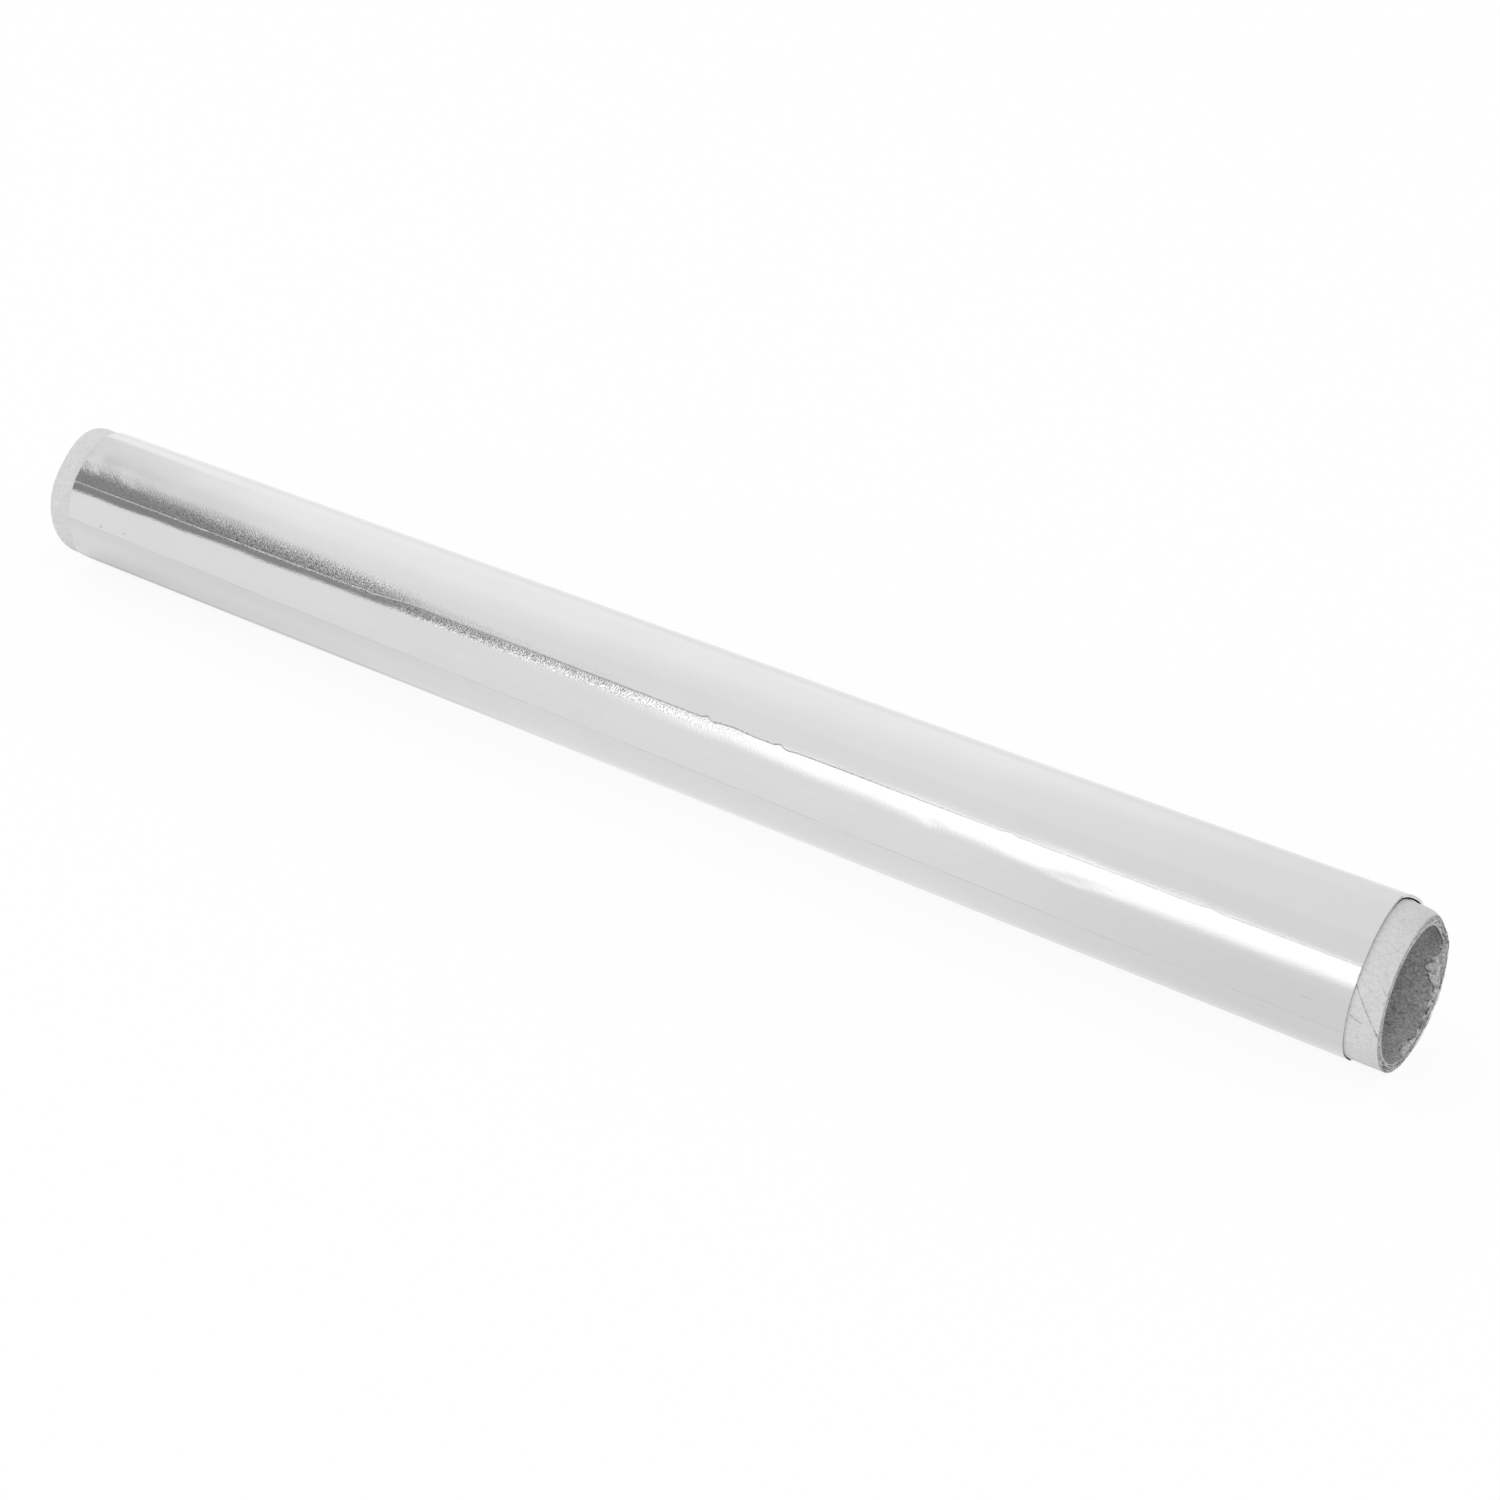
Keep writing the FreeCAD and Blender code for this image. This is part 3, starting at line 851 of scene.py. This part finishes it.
def mark_share(core, along, angle):
    """Darkness of the marks on the outside of the core."""
    dark = 0
    middle = 150
    around = radians(turn_between(angle, middle)) * core.outside
    for start_x, start_a, end_x, end_a, half, strength in MARKS:
        if start_x - 1 < along < end_x + 1:
            start = Vector((start_x, radians(start_a - middle) * core.outside))
            line = Vector((end_x, radians(end_a - middle) * core.outside)) - start
            off = Vector((along, around)) - start
            share = min(1, max(0, off.dot(line) / line.dot(line)))
            dark = max(dark, strength * bell((off - line * share).length, half))
    return dark


def rim_tone(core, angle, share):
    """Tone of the frayed rim, with its plies, the seams between them, darker where they join and with
    painted shade where they have opened, its flecks, its pale lip, and painted shade in the groove inside
    the lip and along the bore's edge there.
    """
    paper, torn = Vector(core.paper), Vector(core.torn)
    ply = ply_of(core, share)
    tone = torn * (0.88 + 0.14 * (ply % 2) + 0.35 * round_noise(angle, 9, ply * 2.7))
    # Darker between the plies: slightly at every joint, and with painted shade deep in the seams that have
    # opened.
    tone *= 1 - rim_groove(core, share) * (0.10 + 0.75 * open_seam(core, angle, share))
    calm = 1 - 0.8 * ease(share, 0.45, 0.6) * ease(angle, 20, 50)
    tone *= 1 + 1.15 * noise.noise(Vector((angle * 0.7, share * 5, ply))) * calm
    if 0 < share < 0.9 / core.plies:
        tone = tone.lerp(paper * 0.95, 0.55)
    lip = lip_share(angle)
    tone = tone.lerp(paper * 1.15, lip * ease(share, 0.58, 0.66))
    # Painted shade in the groove inside the standing lip, and along the bore's edge beside it.
    tone *= 1 - 0.88 * lip * bell(share - 0.45, 0.13) - 0.5 * lip * bell(share - 0.05, 0.10)
    return tone.lerp(paper, 0.35) if share > 0.995 else tone


def shape_core(tube, core):
    """Slants and frays the near end, tears the inner ply, presses in the seam, and gives the tones, with
    painted shade in the crevice along the tear's edge.
    """
    wall = core.outside - core.bore
    paper, board, torn = Vector(core.paper), Vector(core.board), Vector(core.torn)
    tones = []
    for vertex in tube.data.vertices:
        place = vertex.co / MM
        radius = hypot(place.y, place.z)
        angle = degrees(atan2(place.z, place.y))
        share = (radius - core.bore) / wall
        on_rim = abs(place.x - core.mean_end) < 1e-3
        on_bore = share < 1e-3
        on_far = place.x < CORE_START + 1e-3
        near_end = min(1, max(0, (place.x - FOIL_END) / (core.mean_end - FOIL_END)))
        along = place.x + near_end * core.slant * cos(radians(angle - core.long_side))
        # The outer paper is a little darker towards the near end, and more so at its top.
        tone = paper * (1 - 0.05 * near_end - 0.05 * near_end * bell(turn_between(angle, 80), 30))
        if on_rim:
            along += rim_height(core, angle, share)
            tone = rim_tone(core, angle, share)
        if on_bore or on_rim:
            gone, past = torn_depth(along, angle)
            if on_bore:
                tone = board * (1 + 0.06 * noise.noise(place * 0.9))
                raised = noise.noise(place * 1.6) * 0.5 + noise.noise(place * 4.5) * 0.6
                tone = tone.lerp(torn * (1.45 + 1.6 * raised), gone)
                # Painted shade: a near-black line in the crevice along the tear's edge, which is also cut a
                # little into the wall.
                crevice = bell(past - 0.06, 0.12) * ease(round_noise(angle, 11, 70), -0.35, 0.15)
                tone = tone.lerp(board * 0.08, 0.95 * crevice)
                radius = core.bore + gone * (0.30 + 0.10 * raised) + 0.12 * crevice
                if along > core.mean_end + 1.4:
                    radius = max(radius, core.bore)
            elif share < 1.2 / core.plies:
                radius = max(radius, core.bore + gone * 0.32)
        elif not on_far:
            if place.x > FOIL_END - 1:
                dark = mark_share(core, along, angle)
                seam = bell(seam_distance(core, along, angle), 0.10)
                radius -= 0.05 * seam + 0.03 * dark
                tone = tone.lerp(board * 0.5, min(1, 1.3 * dark + 0.62 * seam))
            radius += 0.02 * noise.noise(place * 0.4)
        radius -= pressed_in(core, along, angle, share)
        if place.x < FOIL_START:
            lean = far_lean(angle)
            depth = (FOIL_START - place.x) / (FOIL_START - CORE_START)
            along += depth * (0.60 - core.far_skew * lean)
            radius += core.far_bulge * lean * depth
            # The far overhang is a little lighter on its upper and back side.
            tone = tone * (1 + 0.10 * lean)
        if on_far and 0.01 < share < 0.99:
            tone = torn * (0.9 + 0.15 * (ply_of(core, share) % 2))
            along += 0.08 * noise.noise(place * 1.5)
        out = unit(angle)
        vertex.co = Vector((along, out.y * radius, out.z * radius)) * MM
        tones.append(tone)
    return tones


def paper_material(core):
    """Dull paper with short fibres, whose tone comes from the piece's own colour attribute."""
    material, shader, graph = new_material("core_paper", {"Roughness": 0.85, "Specular IOR Level": 0.2})
    place = graph.place()
    tone = graph.add("ShaderNodeAttribute", attribute_name="tone").outputs["Color"]
    specks = graph.less(graph.noise(place, (2400, 2400, 2400), 2.0, 0.6), 0.5)
    clouds = graph.less(graph.noise(place, (700, 700, 700), 3.0, 0.6), 0.5)
    spread = graph.total(specks, graph.product(clouds, 0.35))
    bright = graph.add("ShaderNodeSeparateColor", {0: tone}).outputs[0]
    amount = graph.between(graph.ramp(bright, 0.6, 0.2), 0.48, 3.38)
    colour = graph.tinted(tone, graph.total(graph.product(spread, amount), 1.0))
    graph.put(colour, shader.inputs["Base Color"])
    fibres = graph.noise(place, (1800, 1800, 1800), 3.0, 0.6)
    graph.put(graph.bump(fibres, 0.05 * MM, strength=0.6), shader.inputs["Normal"])
    return material


class FOILROLL_OT_core(bpy.types.Operator):
    """Models the spiral-wound paper core with its frayed end"""

    bl_idname = "foilroll.core"
    bl_label = "Paper core"

    def execute(self, context):
        core = context.scene.foilroll_core
        tube = outline("tube", core_profile(core))
        open_edit(tube)
        bpy.ops.mesh.select_all(action="SELECT")
        bpy.ops.mesh.spin(steps=core.steps, angle=2 * pi, center=(0, 0, 0), axis=(1, 0, 0))
        bpy.ops.mesh.select_all(action="SELECT")
        bpy.ops.mesh.remove_doubles(threshold=0.01 * MM)
        bpy.ops.mesh.normals_make_consistent(inside=False)
        close_edit()
        tones = shape_core(tube, core)
        layer = tube.data.attributes.new("tone", "FLOAT_COLOR", "POINT")
        layer.data.foreach_set("color", [value for tone in tones for value in (*tone, 1.0)])
        smooth(tube)
        finish_piece(tube, "paper_core", "core_tube", paper_material(core))
        return {"FINISHED"}


class FOILROLL_OT_stage(bpy.types.Operator):
    """Builds the floor, the lights, the dark card and the camera"""

    bl_idname = "foilroll.stage"
    bl_label = "Studio"

    def execute(self, context):
        stage = context.scene.foilroll_stage
        build_world(stage)
        build_floor(stage)
        build_softbox(stage)
        build_dark_card(stage)
        build_panels(stage)
        build_camera(stage)
        context.scene.view_settings.view_transform = "Standard"
        return {"FINISHED"}


# The studio in metres: the floor's size, and the places of the front cards, the ceiling and the back.
FLOOR_SIZE = 12
CARDS_Y = -1.2
CEILING_Z = 2.0
BACK_Y = 3.4

# Corners of the cards in front of the roll: along it and up, in metres.
SOFTBOX_CORNERS = [
    (-0.965, 0.79), (-0.8, 0.49), (-0.35, 0.10), (0.5, 0.10), (0.5, 1.62), (-0.78, 1.62), (-0.86, 1.21),
    (-0.985, 1.20),
]
DARK_CARD_CORNERS = [
    (-4.0, 0.61), (-1.55, 0.63), (-1.37, 0.69), (-1.2, 0.77), (-1.04, 0.87), (-0.965, 1.0), (-0.99, 1.14),
    (-1.25, 1.36), (-1.86, 1.98), (-4.0, 4.1), (-7.6, 7.6), (-12.0, 7.6),
]

# Brightness that the panels have over the air wherever they hang high.
PANEL_LIFT = 0.04

# Camera: its place in mm, and the width of its sensor in mm.
CAMERA_PLACE = (230.81, -304.14, 246.77)
SENSOR_WIDTH = 36


def build_world(stage):
    """Air that is white where it is seen, mirrored or looked through, and lights the rest plainly."""
    world = bpy.data.worlds.new("studio_air")
    bpy.context.scene.world = world
    world.use_nodes = True
    graph = Graph(world.node_tree)
    background = world.node_tree.nodes["Background"]
    path = graph.add("ShaderNodeLightPath").outputs
    seen = graph.largest(path["Is Camera Ray"], path["Is Glossy Ray"], path["Is Transmission Ray"])
    background.inputs["Color"].default_value = (1, 1, 1, 1)
    graph.put(graph.between(seen, stage.light, 1.0), background.inputs["Strength"])


def build_floor(stage):
    """White floor with part of the roll's shadow, one share for the camera and one for the foil."""
    bpy.ops.object.select_all(action="DESELECT")
    bpy.ops.mesh.primitive_plane_add(size=FLOOR_SIZE, location=(0, 0, FLAT_HEIGHT * MM))
    floor = bpy.context.object
    floor.name = "floor"
    paint = {"Base Color": (*stage.floor, 1), "Roughness": 0.9, "Specular IOR Level": 0.0}
    material, shader, graph = new_material("white_floor", paint)
    glow = graph.add("ShaderNodeEmission", {"Color": (1, 1, 1, 1), "Strength": 1.0})
    apart = graph.apart(graph.place())
    mirrored = graph.between(graph.ramp(apart["X"], -0.20, 0.0), stage.mirror_left, stage.mirror_right)
    mirrored = graph.largest(mirrored, graph.ramp(apart["Y"], 0.03, 0.35))
    path = graph.add("ShaderNodeLightPath").outputs
    straight = graph.largest(path["Is Camera Ray"], path["Is Transmission Ray"])
    share = graph.product(straight, stage.whiteness)
    share = graph.largest(share, graph.product(path["Is Glossy Ray"], mirrored))
    both = graph.add("ShaderNodeMixShader", {0: share, 1: shader.outputs[0], 2: glow.outputs[0]})
    graph.put(both.outputs[0], material.node_tree.nodes["Material Output"].inputs["Surface"])
    floor.data.materials.append(material)


def card(name, corners, material):
    """A flat card of the studio with its corners at the given places, in metres."""
    bpy.ops.object.select_all(action="DESELECT")
    bpy.ops.mesh.primitive_circle_add(vertices=len(corners), radius=1, fill_type="NGON")
    piece = bpy.context.object
    piece.name = name
    for vertex, corner in zip(piece.data.vertices, corners):
        vertex.co = corner
    piece.data.materials.append(material)
    piece.visible_camera = False
    return piece


def glowing(name):
    """A black material without gloss that only glows white."""
    black, white = (0, 0, 0, 1), (1, 1, 1, 1)
    return new_material(name, {"Base Color": black, "Specular IOR Level": 0.0, "Emission Color": white})


def only_mirrored(piece):
    """Hides a card from everything but the foil's mirror image."""
    piece.visible_shadow = False
    piece.visible_diffuse = False


def build_softbox(stage):
    """A wide softbox in front of the roll, whose glow fades in over a lower edge that rises to the left."""
    material, shader, graph = glowing("softbox")
    apart = graph.apart(graph.place())
    left = graph.product(apart["X"], -1.0)
    edge = graph.total(graph.slope(left, 0.35, 0.75), graph.slope(left, 0.70, 0.8), 0.22)
    inside = graph.ramp(graph.less(apart["Z"], edge), -0.07, 0.30)
    inside = graph.product(inside, graph.ramp(apart["Z"], 1.62, 1.12))
    graph.put(graph.between(inside, 1.0, stage.lamp), shader.inputs["Emission Strength"])
    card("softbox", [(along, CARDS_Y, up) for along, up in SOFTBOX_CORNERS], material)


def build_dark_card(stage):
    """A tall dark card at the left, which the far end of the foil mirrors, a little paler at its right."""
    material, shader, graph = new_material("dark_card", {})
    dark = Vector(stage.card)
    tone = graph.mix(graph.ramp(graph.apart(graph.place())["X"], -1.7, -1.0), dark, dark * 1.15)
    graph.put(tone, shader.inputs["Base Color"])
    behind = CARDS_Y - 0.01
    only_mirrored(card("dark_card", [(along, behind, up) for along, up in DARK_CARD_CORNERS], material))


def panel_material(stage):
    """White panels a little brighter than the air at the back, and duller high over the far end."""
    material, shader, graph = glowing("panels")
    apart = graph.apart(graph.place())
    along, across, up = apart["X"], apart["Y"], apart["Z"]
    extra = graph.product(graph.ramp(across, -0.2, 1.2), stage.panel - 1, graph.ramp(along, -0.5, -1.3))
    extra = graph.product(extra, graph.ramp(up, -0.4, 1.2))
    lifted = graph.product(graph.ramp(up, 0.0, 0.6), PANEL_LIFT)
    border = graph.total(graph.slope(across, 0.43, 0.42), graph.slope(across, 1.26, 0.25), 1.93)
    dulled = graph.product(graph.ramp(graph.total(along, border), 0.14, -0.20), 1 - stage.dulled)
    dulled = graph.product(dulled, graph.ramp(up, 0.4, 1.9))
    graph.put(graph.less(graph.total(extra, lifted, 1.0), dulled), shader.inputs["Emission Strength"])
    return material


def build_panels(stage):
    """A ceiling panel and a panel behind the roll, which the foil's top mirrors."""
    material = panel_material(stage)
    ceiling = [(-7.0, -0.33), (1.2, -0.33), (1.2, BACK_Y), (-7.0, BACK_Y)]
    back = [(-4.0, 0.0), (1.2, 0.0), (1.2, CEILING_Z), (-4.0, CEILING_Z)]
    only_mirrored(card("ceiling_panel", [(along, across, CEILING_Z) for along, across in ceiling], material))
    only_mirrored(card("back_panel", [(along, BACK_Y, up) for along, up in back], material))


def build_camera(stage):
    """The photograph's point of view."""
    camera = bpy.data.cameras.new("camera")
    camera.lens = stage.lens
    camera.sensor_width = SENSOR_WIDTH
    camera.clip_start = 0.01
    view = bpy.data.objects.new("camera", camera)
    view.location = Vector(CAMERA_PLACE) * MM
    view.rotation_euler = Euler((radians(90 - stage.elevation), 0, radians(stage.azimuth)))
    bpy.context.scene.collection.objects.link(view)
    bpy.context.scene.camera = view


class FOILROLL_PT_panel(bpy.types.Panel):
    """Lists the steps that build the foil roll"""

    bl_label = "Foil roll"
    bl_idname = "FOILROLL_PT_panel"
    bl_space_type = "VIEW_3D"
    bl_region_type = "UI"
    bl_category = "Foil roll"

    def draw(self, context):
        for step in STEPS:
            self.layout.operator(step.bl_idname)


STEPS = (FOILROLL_OT_foil, FOILROLL_OT_core, FOILROLL_OT_stage)
GROUPS = {
    "foilroll_foil": FOILROLL_PG_foil,
    "foilroll_core": FOILROLL_PG_core,
    "foilroll_stage": FOILROLL_PG_stage,
}
CLASSES = (*GROUPS.values(), *STEPS, FOILROLL_PT_panel)


def register():
    for kind in CLASSES:
        bpy.utils.register_class(kind)
    for name, group in GROUPS.items():
        setattr(bpy.types.Scene, name, PointerProperty(type=group))


def unregister():
    for name in GROUPS:
        delattr(bpy.types.Scene, name)
    for kind in reversed(CLASSES):
        bpy.utils.unregister_class(kind)


def main():
    register()
    bpy.ops.foilroll.foil()
    bpy.ops.foilroll.core()
    bpy.ops.foilroll.stage()


if __name__ == "__main__":
    main()
